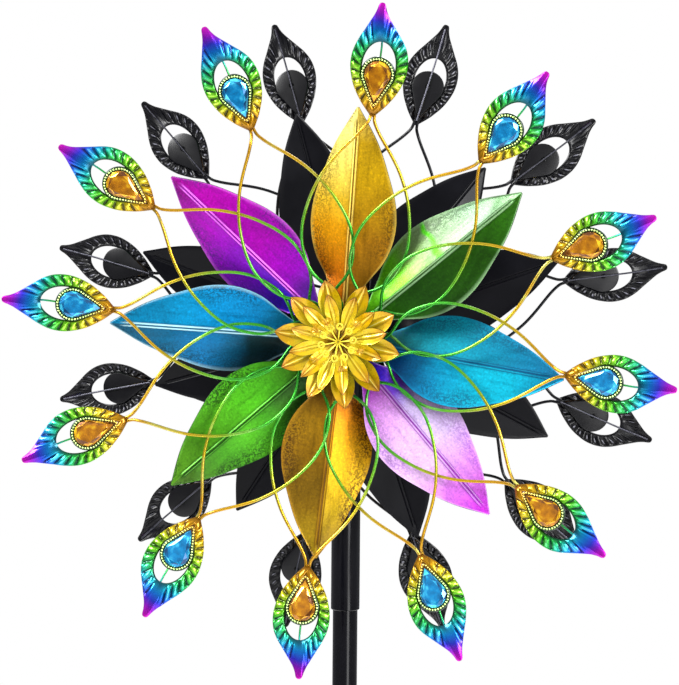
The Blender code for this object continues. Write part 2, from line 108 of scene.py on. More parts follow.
# Feathers, in mm: distance from the base and half width
FEATHER_OUTLINE = (
    (0.4, 2.4), (6.5, 8), (12, 12.5), (24, 20), (37, 24.6), (47, 25.9), (58, 24.6), (68, 20.6),
    (77, 15), (85, 10), (91, 6.4), (96.5, 4.1), (100, 3.1), (101.9, 1.9), (102.5, 0.2),
)
FEATHER_START, FEATHER_LENGTH = 0.4, 102.4
FEATHER_HOOK = {"front": 4, "rear": -1}
FEATHER_HOOKED = (60, 100)
FEATHER_THICKNESS = 1.1
FEATHER_CAD_THICKNESS = 1.4
FEATHER_TILT = math.radians(12)
FLUTES = 24
EYE = 38.5
CUP = (15.6, 30.5, 3.4)
BEADS = (13.7, 28.2, 2.2)
GEM = (12, 25.2, 1.6)
GEM_CROWN = (10.4, 22.4, 1.2)
GEM_TABLE = (8.2, 18.6, 1)
BEAD_COUNT, BEAD_RADIUS = 42, 1.02
OPENING_CENTRE, OPENING_DEPTH, OPENING_HALF = 45, 22.5, 15

# Flower, in mm and degrees: each petal is its angle, length, half width, and how it curls
OUTER_PETALS = (
    (103, 57, 10.5), (64.5, 56.5, 10), (26.4, 56, 11), (349.4, 56, 11), (310, 58, 10.5),
    (276, 61, 11), (241.7, 58, 9.5), (204.8, 57, 10.5), (171.7, 59, 11), (137.6, 59, 10.5),
)
INNER_PETALS = (
    (102, 44, 6.5), (69, 44, 6.5), (40, 43, 6.5), (11, 45, 7.5), (340, 42, 6.5), (308, 46, 7),
    (276, 48, 6.5), (249, 47, 6.5), (224, 46, 6.5), (192, 45, 6.5), (164.5, 44, 6.5), (134.6, 45, 6.5),
)
CURLED_PETALS = ((219, 34, 5.5), (43.5, 33, 5), (280, 31, 5), (340, 29, 5), (150, 30, 5), (118, 27, 4.5))
STAMENS, STAMEN_TURN, STAMEN_RADIUS = 10, 81, 14.6
PETAL_ROWS, PETAL_COLUMNS = 22, 13

# Turned pieces, in metres: radius and height at each corner of the profile
WIRE_RING = ((0.030, 0.0665), (0.030, 0.060), (0.0194, 0.060), (0.0194, 0.0665))
STAMEN_RING = ((0.0034, 0.0008), (0.0034, -0.0008), (0.0018, -0.0008), (0.0018, 0.0008))
HUB_PROFILE = (
    (0.019, 0.076), (0.019, 0.0535), (0.034, 0.0535), (0.034, 0.0515), (0.015, 0.0515),
    (0.015, 0.030), (0.0093, 0.030), (0.0093, 0.0625), (0.0105, 0.0625), (0.0105, 0.076),
)
AXLE_PROFILE = ((0.004, 0.0725), (0.004, -0.0725), (0.0001, -0.0725), (0.0001, 0.0725))
TUBE_WALL, TUBE_BORE, TUBE_GAP = 1.2 * MM, 12 * MM, 0.3 * MM
PRONG_CIRCLE = 0.045


# Small geometry helpers


def blend(value, low, high):
    """0 below low, 1 above high, and smooth between them."""
    share = min(max((value - low) / (high - low), 0), 1)
    return share * share * (3 - 2 * share)


def through(points, value):
    """The smooth curve through (position, size) points, read at one position."""
    last = len(points) - 2
    index = min(max(sum(p[0] <= value for p in points) - 1, 0), last)
    before = points[max(index - 1, 0)]
    start, end = points[index], points[index + 1]
    after = points[min(index + 2, last + 1)]
    span = end[0] - start[0]
    share = (value - start[0]) / span
    leave = (end[1] - before[1]) / (end[0] - before[0]) * span
    reach = (after[1] - start[1]) / (after[0] - start[0]) * span
    square, cube = share**2, share**3
    return (
        (2 * cube - 3 * square + 1) * start[1]
        + (cube - 2 * square + share) * leave
        + (3 * square - 2 * cube) * end[1]
        + (cube - square) * reach
    )


def spaced(points, count, closed=False):
    """The polyline's points, read again at equal steps along its length."""
    line = np.array(points, float)
    if closed:
        line = np.vstack([line, line[:1]])
    length = np.concatenate([[0], np.cumsum(np.linalg.norm(np.diff(line, axis=0), axis=1))])
    steps = np.linspace(0, length[-1], count, endpoint=not closed)
    return np.stack([np.interp(steps, length, line[:, axis]) for axis in range(line.shape[1])], 1)


def sheet(name, points, values, closed=False):
    """A grid of points, rows by columns, as a mesh; values are its named point attributes."""
    rows, columns = points.shape[:2]
    faces = []
    for row in range(rows - 1):
        for column in range(columns if closed else columns - 1):
            beside = (column + 1) % columns
            here, there = row * columns, (row + 1) * columns
            faces.append((here + column, there + column, there + beside, here + beside))
    mesh = bpy.data.meshes.new(name)
    mesh.from_pydata(points.reshape(-1, 3).tolist(), [], faces)
    for key, value in values.items():
        attribute = mesh.attributes.new(key, "FLOAT", "POINT")
        attribute.data.foreach_set("value", np.asarray(value, np.float32).ravel())
    return mesh


def loft(name, rings):
    """Closed rings of equally many points, joined in order and capped at both ends."""
    points = np.array(rings)
    mesh = sheet(name, points, {}, closed=True)
    work = bmesh.new()
    work.from_mesh(mesh)
    work.verts.ensure_lookup_table()
    count = points.shape[1]
    work.faces.new(work.verts[:count])
    work.faces.new(work.verts[-count:][::-1])
    bmesh.ops.recalc_face_normals(work, faces=work.faces)
    work.to_mesh(mesh)
    work.free()
    return mesh


def add(name, mesh, paints, smooth=True):
    made = bpy.data.objects.new(name, mesh)
    bpy.context.scene.collection.objects.link(made)
    for index, paint in enumerate(paints):
        if index < len(mesh.materials):
            mesh.materials[index] = paint
        else:
            mesh.materials.append(paint)
    if smooth:
        mesh.shade_smooth()
        mesh.set_sharp_from_angle(angle=SMOOTH_ANGLE)
    return made


def evaluated(made):
    """The object's mesh with its modifiers applied; the object is removed."""
    graph = bpy.context.evaluated_depsgraph_get()
    mesh = bpy.data.meshes.new_from_object(made.evaluated_get(graph))
    bpy.data.objects.remove(made)
    return mesh


def thickened(name, mesh, thickness, offset):
    """The sheet with a thickness in metres; its back takes the second material."""
    guide = bpy.data.objects.new(name, mesh)
    bpy.context.scene.collection.objects.link(guide)
    mesh.materials.append(None)
    mesh.materials.append(None)
    solid = guide.modifiers.new("sheet", "SOLIDIFY")
    solid.thickness = thickness
    solid.offset = offset
    solid.material_offset = BACK
    solid.material_offset_rim = BACK
    bpy.context.view_layer.update()
    made = evaluated(guide)
    made.name = name
    return made


def joined(name, meshes):
    """One mesh from several (mesh, material index or None to keep its own) pairs."""
    points, faces, indices = [], [], []
    values = {}
    for mesh, index in meshes:
        first = len(points)
        points += [tuple(vertex.co) for vertex in mesh.vertices]
        faces += [[first + corner for corner in face.vertices] for face in mesh.polygons]
        indices += [face.material_index if index is None else index for face in mesh.polygons]
        for attribute in mesh.attributes:
            if attribute.data_type == "FLOAT" and attribute.domain == "POINT":
                read = [item.value for item in attribute.data]
                values.setdefault(attribute.name, {})[first] = read
    made = bpy.data.meshes.new(name)
    made.from_pydata(points, [], faces)
    made.polygons.foreach_set("material_index", indices)
    for key, pieces in values.items():
        filled = np.zeros(len(points), np.float32)
        for first, read in pieces.items():
            filled[first:first + len(read)] = read
        made.attributes.new(key, "FLOAT", "POINT").data.foreach_set("value", filled)
    return made


def tubes(name, paths, radius, resolution=3):
    """Round bars along paths of points in metres, as one mesh."""
    curve = bpy.data.curves.new(name, "CURVE")
    curve.dimensions = "3D"
    curve.bevel_depth = radius
    curve.bevel_resolution = resolution
    curve.use_fill_caps = True
    for path in paths:
        spline = curve.splines.new("POLY")
        spline.points.add(len(path) - 1)
        for target, point in zip(spline.points, path):
            target.co = (*point, 1)
    guide = bpy.data.objects.new(name, curve)
    bpy.context.scene.collection.objects.link(guide)
    bpy.context.view_layer.update()
    return evaluated(guide)


def turned(name, profile, steps=64):
    """A closed (radius, height) profile in metres, turned about Z."""
    turns = np.linspace(0, math.tau, steps, endpoint=False)
    rings = [
        [(radius * math.cos(turn), radius * math.sin(turn), height) for turn in turns]
        for radius, height in profile + profile[:1]
    ]
    mesh = sheet(name, np.array(rings), {}, closed=True)
    work = bmesh.new()
    work.from_mesh(mesh)
    bmesh.ops.remove_doubles(work, verts=work.verts, dist=0.01 * MM)
    bmesh.ops.recalc_face_normals(work, faces=work.faces)
    work.to_mesh(mesh)
    work.free()
    return mesh


def rounded(profile, radius):
    """The profile with each corner cut by a short chamfer."""
    made = []
    for index, corner in enumerate(profile):
        for other in (profile[index - 1], profile[(index + 1) % len(profile)]):
            step = Vector(other) - Vector(corner)
            made.append(tuple(Vector(corner) + step * min(radius / step.length, 0.4)))
    return made


def teardrop(radius, reach, small, count, first=0):
    """A round end along +X and a smaller one toward -X, as equally spaced (x, z) points."""
    away = reach - small
    touch = math.pi - math.acos((radius - small) / away)
    big = [
        (radius * math.cos(turn), radius * math.sin(turn))
        for turn in np.linspace(-touch, touch, 96)
    ]
    little = [
        (small * math.cos(turn) - away, small * math.sin(turn))
        for turn in np.linspace(touch, math.tau - touch, 24)
    ]
    line = spaced(little[12:] + big + little[:12], count * 2, closed=True)
    return line[first::2]


# Materials


def colour(text):
    """Linear red, green, blue and alpha from an sRGB hex string."""
    channels = [int(text[index:index + 2], 16) / 255 for index in (0, 2, 4)]
    return (*(c / 12.92 if c <= 0.04045 else ((c + 0.055) / 1.055) ** 2.4 for c in channels), 1)


SOCKETS = {
    "metallic": "Metallic", "specular": "Specular IOR Level",
    "coat": "Coat Weight", "coat_roughness": "Coat Roughness",
}


class Paint:
    """One material's node tree, with short calls for the nodes that it uses."""

    def __init__(self, name, **settings):
        self.material = bpy.data.materials.new(name)
        self.material.use_nodes = True
        self.tree = self.material.node_tree
        self.shader = self.tree.nodes["Principled BSDF"]
        for socket, value in settings.items():
            self.put(self.shader.inputs[SOCKETS[socket]], value)

    def put(self, socket, value):
        if isinstance(value, bpy.types.NodeSocket):
            self.tree.links.new(value, socket)
        else:
            socket.default_value = value

    def node(self, kind, inputs, **settings):
        made = self.tree.nodes.new(kind)
        for key, value in settings.items():
            setattr(made, key, value)
        for key, value in inputs.items():
            self.put(made.inputs[key], value)
        return made

    def read(self, name):
        return self.node("ShaderNodeAttribute", {}, attribute_name=name).outputs["Fac"]

    def math(self, operation, *values):
        return self.node(
            "ShaderNodeMath", dict(enumerate(values)), operation=operation
        ).outputs[0]

    def smooth(self, value, low, high, start=0.0, end=1.0):
        inputs = {"Value": value, "From Min": low, "From Max": high, "To Min": start, "To Max": end}
        return self.node(
            "ShaderNodeMapRange", inputs, interpolation_type="SMOOTHSTEP"
        ).outputs[0]

    def mix(self, share, first, second, kind="MIX"):
        made = self.node("ShaderNodeMix", {}, data_type="RGBA", blend_type=kind)
        self.put(made.inputs[0], share)
        self.put(made.inputs[6], first)
        self.put(made.inputs[7], second)
        return made.outputs[2]

    def ramp(self, value, stops):
        made = self.node("ShaderNodeValToRGB", {"Fac": value})
        elements = made.color_ramp.elements
        while len(elements) < len(stops):
            elements.new(0.5)
        for element, (place, text) in zip(elements, stops):
            element.position = place
        for element, (place, text) in zip(elements, stops):
            element.position = place
            element.color = colour(text)
        return made.outputs[0]

    def place(self, stretch=(1, 1, 1)):
        """The piece's own coordinates in metres, stretched along each axis."""
        source = self.node("ShaderNodeTexCoord", {}).outputs["Object"]
        return self.node("ShaderNodeMapping", {"Vector": source, "Scale": stretch}).outputs[0]

    def noise(self, scale, detail=3.0, stretch=(1, 1, 1), roughness=0.5):
        inputs = {
            "Vector": self.place(stretch), "Scale": scale, "Detail": detail, "Roughness": roughness,
        }
        return self.node("ShaderNodeTexNoise", inputs).outputs[0]

    def bump(self, height, distance, strength=1.0):
        made = self.node(
            "ShaderNodeBump", {"Height": height, "Distance": distance, "Strength": strength}
        )
        self.put(self.shader.inputs["Normal"], made.outputs[0])

    def finish(self, base, roughness=None):
        self.put(self.shader.inputs["Base Color"], base)
        if roughness is not None:
            self.put(self.shader.inputs["Roughness"], roughness)
        return self.material


def black_paint(name, roughness, grain, specular):
    """Black powder coat or lacquer: a fine orange peel with faint cloudy wear."""
    paint = Paint(name, metallic=0.0, specular=specular)
    cloud = paint.noise(22, 4)
    base = paint.ramp(cloud, ((0.3, "030306"), (0.7, "07070c")))
    paint.bump(paint.noise(grain, 2), 0.00008, 0.25)
    return paint.finish(base, paint.smooth(cloud, 0.3, 0.7, *roughness))


def feather_back_paint():
    """The feathers' black backs, with painted grey highlights where the flutes stand proud."""
    paint = Paint("black_feather_lacquer", metallic=0.0, specular=0.25)
    ring = paint.read("ring")
    band = paint.math("MULTIPLY", paint.smooth(ring, 0.4, 0.55), paint.smooth(ring, 0.85, 0.7))
    flute_highlight = paint.math("MULTIPLY", band, paint.smooth(paint.read("flute"), 0.65, 1.0, 0, 0.6))
    base = paint.mix(flute_highlight, colour("060609"), colour("8c8c98"))
    paint.bump(paint.noise(120, 2), 0.00008, 0.25)
    return paint.finish(base, paint.smooth(paint.noise(40, 2), 0.3, 0.7, 0.26, 0.34))


# A leaf's lacquer: colours by radius in mm on its anticlockwise and clockwise halves, each the lacquer's
# colour with the painted light and shade that falls on that half; the painted shade on its rib's flanks; the
# painted crest line, a highlight on most leaves and a shade on a few, with how much the crests show; the
# antiquing's colour and share
LEAF_PAINT = {
    "gold_up": (
        ((60, "d07004"), (84, "d88806"), (106, "e29c06"), (128, "f2c42c"), (160, "fbe468"), (200, "fbec88")),
        ((60, "8e600a"), (90, "9c6a08"), (125, "b08606"), (150, "bc9404"), (180, "b48e0a"), (205, "d8bc50")),
        "6e4e04", "f4d864", 0.7, "4a3204", 0.8,
    ),
    "purple": (
        ((50, "2410c8"), (70, "3a10b4"), (95, "600eb0"), (125, "8406b4"), (150, "a004b0"), (200, "800678")),
        ((50, "6a2cb0"), (75, "9602b8"), (110, "a002a6"), (140, "a402a6"), (175, "ac02a4"), (205, "920686")),
        "7a0888", "ec78f4", 0.8, "2c1c68", 0.7,
    ),
    "teal_left": (
        ((55, "011818"), (86, "022a30"), (104, "06587c"), (126, "0470a8"), (156, "045e84"), (200, "044660")),
        ((55, "046a90"), (80, "0278b0"), (108, "0288c4"), (140, "028cc0"), (165, "0278a4"), (200, "0480ae")),
        "045070", "c4f4fc", 1.0, "043040", 0.75,
    ),
    "green_low": (
        ((55, "1c4010"), (85, "38741c"), (106, "44a01c"), (126, "50b01c"), (150, "3c8814"), (200, "3e6418")),
        ((55, "3c7c14"), (80, "44a018"), (106, "4cb018"), (130, "489a16"), (160, "3c7a0c"), (200, "4c8418")),
        "123c02", "2c6810", 0.5, "163408", 0.95,
    ),
    "gold_down": (
        ((58, "9c5004"), (76, "d88408"), (100, "d09002"), (130, "be9604"), (160, "a48606"), (200, "6a520a")),
        ((58, "724e02"), (82, "906a06"), (108, "805c04"), (136, "684c02"), (164, "745604"), (200, "94780e")),
        "5a3a02", "a87808", 0.5, "442a02", 1.0,
    ),
    "pink": (
        ((50, "2a06a0"), (70, "6438b8"), (90, "c4b0e0"), (125, "c8b0da"), (158, "c07cca"), (200, "a430ae")),
        ((50, "c04cd4"), (75, "d890e4"), (105, "dcb0e4"), (140, "dab2e0"), (172, "d074dc"), (200, "b82cc4")),
        "7c0894", "e8c0f8", 0.4, "7c38a8", 0.6,
    ),
    "teal_right": (
        ((55, "034444"), (80, "067888"), (106, "048498"), (135, "037894"), (165, "046e90"), (205, "045c82")),
        ((55, "023e74"), (76, "026494"), (100, "028aae"), (130, "029cb6"), (165, "029eb8"), (205, "037096")),
        "024468", "0490b8", 0.3, "044460", 0.8,
    ),
    "green_up": (
        (
            (55, "52a40c"), (80, "5cb414"), (98, "688c44"), (116, "6a8458"), (119, "48b810"),
            (121, "48b810"), (124, "687e5c"), (165, "5e785e"), (200, "5a7e54"),
        ),
        ((55, "205406"), (85, "143c02"), (120, "1a4602"), (150, "1a4402"), (180, "205602"), (205, "225406")),
        "123c02", "a8d49c", 0.6, "183c0c", 0.3,
    ),
}


# Painted shade for the feather's flute valleys and the groove beside its gem, by colour from the base to the
# tip
FEATHER_PAINTED_SHADE = (
    (0.0, "4a2a02"), (0.2, "3c3404"), (0.42, "0a3406"), (0.62, "043c30"), (0.74, "042c64"),
    (0.88, "2c0c5c"), (1.0, "6c0864"),
)


def leaf_paint(name, design):
    """Lacquer over brushed metal, with a gradient on each half that holds painted light and shade, a painted
    shade and crest line on the rib, a painted edge highlight, and antiqued edges.
    """
    first, second, flank_shade, crest_shading, crest_shading_share, antique, wear = design
    paint = Paint(name, metallic=0.5, specular=0.2, coat=0.06, coat_roughness=0.1)
    drift = paint.math("MULTIPLY_ADD", paint.noise(30, 3), 0.14, -0.07)
    along = paint.math("ADD", paint.read("along"), drift)
    across = paint.read("across")
    halves = [
        paint.ramp(along, [(radius / LEAF_REACH, text) for radius, text in stops])
        for stops in (second, first)
    ]
    # The halves differ partly in lacquer and partly as painted light and shade: one half painted lit, the
    # other shaded.
    base = paint.mix(paint.smooth(across, -0.02, 0.02), *halves)
    cloudy = paint.noise(24, 3)
    base = paint.mix(paint.smooth(cloudy, 0.45, 0.25, 0, 0.3), base, colour(antique))
    grain = paint.noise(480, 2, roughness=0.6)
    base = paint.mix(paint.smooth(grain, 0.5, 0.25), base, (0.72, 0.72, 0.72, 1), "MULTIPLY")
    base = paint.mix(paint.smooth(grain, 0.5, 0.75), base, (1.35, 1.35, 1.35, 1), "MULTIPLY")
    streak = paint.noise(34, 4, (1, 1, 9))
    base = paint.mix(paint.smooth(streak, 0.5, 0.3, 0, 0.2), base, colour(antique))
    edge = paint.smooth(paint.math("ABSOLUTE", across), 0.3, 0.95)
    cloud = paint.smooth(paint.noise(19, 3), 0.42, 0.6)
    speckle = paint.smooth(paint.noise(560, 2, roughness=0.7), 0.44, 0.56)
    worn = paint.math("MULTIPLY", paint.math("MULTIPLY", edge, speckle), cloud)
    base = paint.mix(paint.math("MULTIPLY", worn, wear), base, colour(antique))
    # Painted shade on the rib's flanks, then its painted crest line: a highlight on most leaves, a shade on
    # a few.
    base = paint.mix(paint.read("flank_shade"), base, colour(flank_shade))
    base = paint.mix(paint.math("MULTIPLY", paint.read("crest_shading"), crest_shading_share), base, colour(crest_shading))
    # The rolled rim takes part of the crest colour: a painted edge highlight, and a painted shade on leaves
    # with a dark crest colour.
    base = paint.mix(paint.math("MULTIPLY", paint.read("rim"), 0.4), base, colour(crest_shading))
    paint.bump(paint.math("ADD", paint.math("MULTIPLY", worn, -0.6), grain), 0.00010, 0.5)
    shine = paint.smooth(streak, 0.3, 0.7, 0.34, 0.44)
    return paint.finish(base, paint.math("MULTIPLY_ADD", worn, 0.15, shine))


def feather_paint():
    """Lacquer that grades from gold at the base to magenta at the tip; painted shade darkens the flutes'
    valleys and the groove beside the gem, and a painted highlight lightens their crests.
    """
    paint = Paint("feather_lacquer", metallic=0.7, specular=0.2, coat=0.25, coat_roughness=0.14)
    drift = paint.math("MULTIPLY_ADD", paint.noise(60, 2), 0.08, -0.04)
    along = paint.math("ADD", paint.read("along"), drift)
    stops = (
        (0.0, "7c4c02"), (0.1, "b88404"), (0.22, "b09c04"), (0.34, "70a808"), (0.48, "2c9a10"),
        (0.6, "0c9048"), (0.68, "0494a0"), (0.76, "0868c4"), (0.83, "2c30c4"), (0.9, "8410bc"),
        (1.0, "cc10b4"),
    )
    # Painted highlight colours for the flutes' crests, from the base to the tip
    bright = (
        (0.0, "d8a020"), (0.15, "f8dc40"), (0.3, "e8f860"), (0.46, "90f050"), (0.6, "50e8b0"),
        (0.7, "60e8fc"), (0.8, "60a8fc"), (0.9, "cc58fc"), (1.0, "fc70ec"),
    )
    base = paint.ramp(along, stops)
    flute = paint.read("flute")
    # Painted shade in the flutes' valleys and a painted highlight on their crests.
    base = paint.mix(paint.smooth(flute, 0.3, -0.7, 0, 0.95), base, paint.ramp(along, FEATHER_PAINTED_SHADE))
    base = paint.mix(paint.smooth(flute, 0.6, 0.95, 0, 0.65), base, paint.ramp(along, bright))
    # Painted shade in the groove between the gem's cup and the flutes.
    inner = paint.smooth(paint.read("ring"), 0.3, 0.04, 0, 0.85)
    base = paint.mix(inner, base, paint.ramp(along, FEATHER_PAINTED_SHADE))
    paint.bump(paint.noise(160, 2), 0.0001, 0.1)
    return paint.finish(base, paint.smooth(paint.noise(120, 2), 0.3, 0.7, 0.2, 0.26))


def cup_paint():
    """The dark green band under the beads, gold toward the feather's base."""
    paint = Paint("gem_cup_lacquer", metallic=0.5, coat=0.4, coat_roughness=0.1)
    along = paint.node("ShaderNodeSeparateXYZ", {"Vector": paint.place()}).outputs[0]
    base = paint.mix(paint.smooth(along, 0.030, 0.012), colour("062c06"), colour("5a3c04"))
    return paint.finish(base, paint.smooth(paint.noise(300, 2), 0.3, 0.7, 0.2, 0.35))


def bead_paint():
    paint = Paint("bead_lacquer", metallic=0.6, coat=0.6, coat_roughness=0.05)
    along = paint.node("ShaderNodeSeparateXYZ", {"Vector": paint.place()}).outputs[0]
    base = paint.mix(paint.smooth(along, 0.030, 0.010), colour("c8e48c"), colour("e8cc58"))
    return paint.finish(base, paint.smooth(paint.noise(500, 1), 0.3, 0.7, 0.12, 0.22))


def gem_paint(name, dark, middle, bright):
    """Foil-backed faceted acrylic: each facet's colour, from dark to bright, is its own painted share of
    reflected light.
    """
    paint = Paint(name, metallic=0.5, coat=0.5, coat_roughness=0.02)
    facet = paint.read("facet")
    painted_reflection = paint.math("ADD", facet, paint.math("MULTIPLY_ADD", paint.noise(130, 2), 1.4, -0.75))
    base = paint.ramp(painted_reflection, ((0.0, dark), (0.5, middle), (1.0, bright)))
    return paint.finish(base, paint.smooth(paint.noise(200, 1), 0.3, 0.7, 0.05, 0.12))


def wire_paint():
    """Green lacquer near the hub and gold farther out, with slight patches of thin colour."""
    paint = Paint("wire_lacquer", metallic=0.8, coat=0.3, coat_roughness=0.06)
    parts = paint.node("ShaderNodeSeparateXYZ", {"Vector": paint.place()}).outputs
    squares = [paint.math("MULTIPLY", parts[axis], parts[axis]) for axis in (0, 2)]
    radius = paint.math("SQRT", paint.math("ADD", *squares))
    drift = paint.math("MULTIPLY_ADD", paint.noise(16, 2), 0.06, -0.03)
    share = paint.math("MULTIPLY_ADD", radius, 1 / 0.21, drift)
    stops = (
        (0.14, "1c7414"), (0.32, "2e9824"), (0.5, "42a62c"), (0.62, "74a822"), (0.7, "a49e1a"),
        (0.8, "c49c14"), (0.9, "bc8c10"), (1.0, "aa7c0c"),
    )
    base = paint.ramp(share, stops)
    patch = paint.smooth(paint.noise(40, 3), 0.52, 0.72, 0, 0.4)
    base = paint.mix(patch, base, colour("a8d878"))
    paint.bump(paint.noise(120, 2), 0.0001, 0.15)
    return paint.finish(base, paint.smooth(paint.noise(140, 2), 0.3, 0.7, 0.22, 0.3))


def flower_paint():
    """Yellow-gold lacquer that turns orange-brown at the petals' tips, with painted shade at the roots and
    in the creases and painted highlights on the ridges and edges.
    """
    paint = Paint("flower_lacquer", metallic=0.45, specular=0.3, coat=0.3, coat_roughness=0.08)
    drift = paint.math("MULTIPLY_ADD", paint.noise(70, 3), 0.3, -0.15)
    along = paint.math("ADD", paint.read("along"), drift)
    # Dark brown at the petals' roots is painted shade where they crowd the middle; the orange-brown tips are
    # the lacquer's own colour.
    stops = (
        (0.0, "4c2c02"), (0.2, "9c7404"), (0.42, "e4d028"), (0.72, "d0aa06"), (1.0, "a06804"),
    )
    base = paint.ramp(along, stops)
    fold = paint.read("fold")
    # Painted highlight on the ridges and edges, painted shade in the vein creases.
    base = paint.mix(paint.smooth(fold, 0.4, 1.0, 0, 0.8), base, colour("f8f080"))
    base = paint.mix(paint.smooth(fold, -0.3, -1.0, 0, 0.8), base, colour("745004"))
    paint.bump(paint.noise(600, 2), 0.0001, 0.3)
    return paint.finish(base, paint.smooth(paint.noise(110, 2), 0.3, 0.7, 0.2, 0.32))


def metal_paint(name, first, second, roughness):
    paint = Paint(name, metallic=1.0)
    brushed = paint.noise(160, 4, (1, 30, 1))
    base = paint.ramp(brushed, ((0.3, first), (0.7, second)))
    paint.bump(brushed, 0.00003, 0.4)
    return paint.finish(base, paint.smooth(brushed, 0.3, 0.7, roughness, roughness + 0.15))


BLACK = black_paint("black_powder_coat", (0.16, 0.22), 90, 0.3)
BLACK_SHEET = black_paint("black_sheet_lacquer", (0.2, 0.26), 120, 0.28)
BLACK_FEATHER = feather_back_paint()
BLACK_LEAF = black_paint("black_leaf_lacquer", (0.3, 0.4), 400, 0.1)
# The spine wire's grey metal is a painted sheen, standing in for the highlight along the round black wire.
SPINE = metal_paint("spine_painted_sheen", "2c2c32", "56565e", 0.3)
WIRE = wire_paint()
FEATHER = feather_paint()
CUP_BAND = cup_paint()
BEAD = bead_paint()
FLOWER = flower_paint()
STEEL = metal_paint("bright_steel", "8c8e92", "b4b6ba", 0.25)
BRONZE = metal_paint("sintered_bronze", "8a6030", "b08450", 0.35)
GEMS = (
    ("amber_gem", gem_paint("amber_gem", "582c02", "b47204", "f8c820")),
    ("blue_gem", gem_paint("blue_gem", "023c68", "0480bc", "50d8f4")),
)
LEAVES = [leaf_paint(f"{name}_lacquer", design) for name, design in LEAF_PAINT.items()]


# Where the frame says each rotor's pieces are


def rotor_frame(prefix):
    """The matrix from a rotor's own frame to the row frame."""
    facing = 0 if JOINTS[f"{prefix}_rotor"]["axis"][1] < 0 else math.pi
    return Matrix.Translation(HUB) @ Matrix.Rotation(facing, 4, "Z")


def node_points(node, to_row):
    """The CAD node's points in its rotor's frame, in metres, nearest the axle first."""
    back = to_row.inverted()
    points = np.array([back @ vertex.co for vertex in frame["nodes"][node].data.vertices])
    return points[np.argsort(np.hypot(points[:, 0], points[:, 2]))]


def leaf_place(node, to_row):
    """The leaf's angle and how far it reaches, from its tip's points."""
    tip = node_points(node, to_row)[-4:].mean(0)
    return math.atan2(tip[2], tip[0]), math.hypot(tip[0], tip[2]) / MM


def feather_place(node, to_row):
    """The matrix from the feather's own frame, with X outward along it, to the rotor's."""
    points = node_points(node, to_row)
    base, tip = points[:4].mean(0), points[-2:].mean(0)
    hook = FEATHER_HOOK[node.split("_")[0]]
    hooked = math.atan2(hook, FEATHER_LENGTH * math.cos(FEATHER_TILT))
    turn = math.atan2(tip[2] - base[2], tip[0] - base[0]) - hooked
    turned_to = Matrix.Rotation(-turn, 4, "Y") @ Matrix.Rotation(-FEATHER_TILT, 4, "Z")
    inset = turned_to @ Vector((FEATHER_START * MM, FEATHER_CAD_THICKNESS / 2 * MM, 0))
    return Matrix.Translation(Vector(base) - inset) @ turned_to


# Leaves


def leaf_mesh(reach):
    """A folded blade with a raised double rib and a rolled rim, in mm until the last step."""
    points, along, across, flank_shade, crest_shading, rim = ([] for _ in range(6))
    for radius in np.linspace(LEAF_OUTLINE[0][0], LEAF_REACH, LEAF_ROWS):
        half = through(LEAF_OUTLINE, radius)
        set_in = blend(radius, LEAF_FLAT_TO, LEAF_PITCHED_FROM)
        pitch, fold = LEAF_PITCH * set_in, LEAF_FOLD * set_in
        rib_half = RIB_HALF * min(1, half / (2.2 * RIB_HALF))
        shown = 1 - blend(radius, RIB_END - 8, RIB_END)
        for share in np.linspace(-1, 1, LEAF_COLUMNS):
            outer = max(abs(share) - 0.4, 0) / 0.6
            offset = rib_half * min(abs(share) / 0.4, 1) + (half - rib_half) * outer
            side = math.copysign(offset, share)
            from_crest = (offset - RIB_CREST * rib_half / RIB_HALF) / (0.5 * rib_half / RIB_HALF)
            ridge = math.exp(-from_crest * from_crest) * shown
            rolled = blend(offset, half - 1.4, half)
            raised = -offset * math.tan(fold) + RIB_HEIGHT * ridge + 0.5 * rolled
            middle = LEAF_ROOT_FORWARD + LEAF_RISE * max(radius - LEAF_FLAT_TO, 0)
            forward = middle + raised * math.cos(pitch) - side * math.sin(pitch)
            sideways = side * math.cos(pitch) + raised * math.sin(pitch)
            points.append((radius * reach / LEAF_REACH, -forward, sideways))
            along.append(radius / LEAF_REACH)
            across.append(share if half < 0.1 else side / half)
            # These marks place the rib's painted shade on its flanks and its painted crest line.
            flank_shade.append((1 - blend(offset, 0.8 * rib_half, rib_half)) * (1 - ridge) * shown)
            crest_shading.append(ridge)
            rim.append(rolled)
    grid = np.array(points).reshape(LEAF_ROWS, LEAF_COLUMNS, 3) * MM
    values = {"along": along, "across": across, "flank_shade": flank_shade, "crest_shading": crest_shading, "rim": rim}
    return thickened("leaf", sheet("leaf", grid, values), LEAF_THICKNESS * MM, 0)


def add_leaves(prefix, to_row):
    for index, paint in enumerate(LEAVES):
        node = f"{prefix}_leaf_{index + 1}"
        angle, reach = leaf_place(node, to_row)
        leaf = add(f"{prefix}_leaf_blade_{index + 1}", leaf_mesh(reach), (paint, BLACK_LEAF))
        leaf.matrix_world = to_row @ Matrix.Rotation(-angle, 4, "Y")
        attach(leaf, f"{prefix}_rotor")
        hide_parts(node)


# Feathers


def feather_edge(count, bent):
    """The plate's edge from its base round by the tip, as (along, across) points in mm."""
    steps = FEATHER_START + (FEATHER_LENGTH - FEATHER_START) * (
        1 - np.cos(np.linspace(0, math.pi, 90))
    ) / 2
    side = [
        (along, through(FEATHER_OUTLINE, along), bent * blend(along, *FEATHER_HOOKED))
        for along in steps
    ]
    lower = [(along, hook - half) for along, half, hook in side]
    upper = [(along, hook + half) for along, half, hook in side[-2::-1]]
    return spaced(lower + upper, count, closed=True)


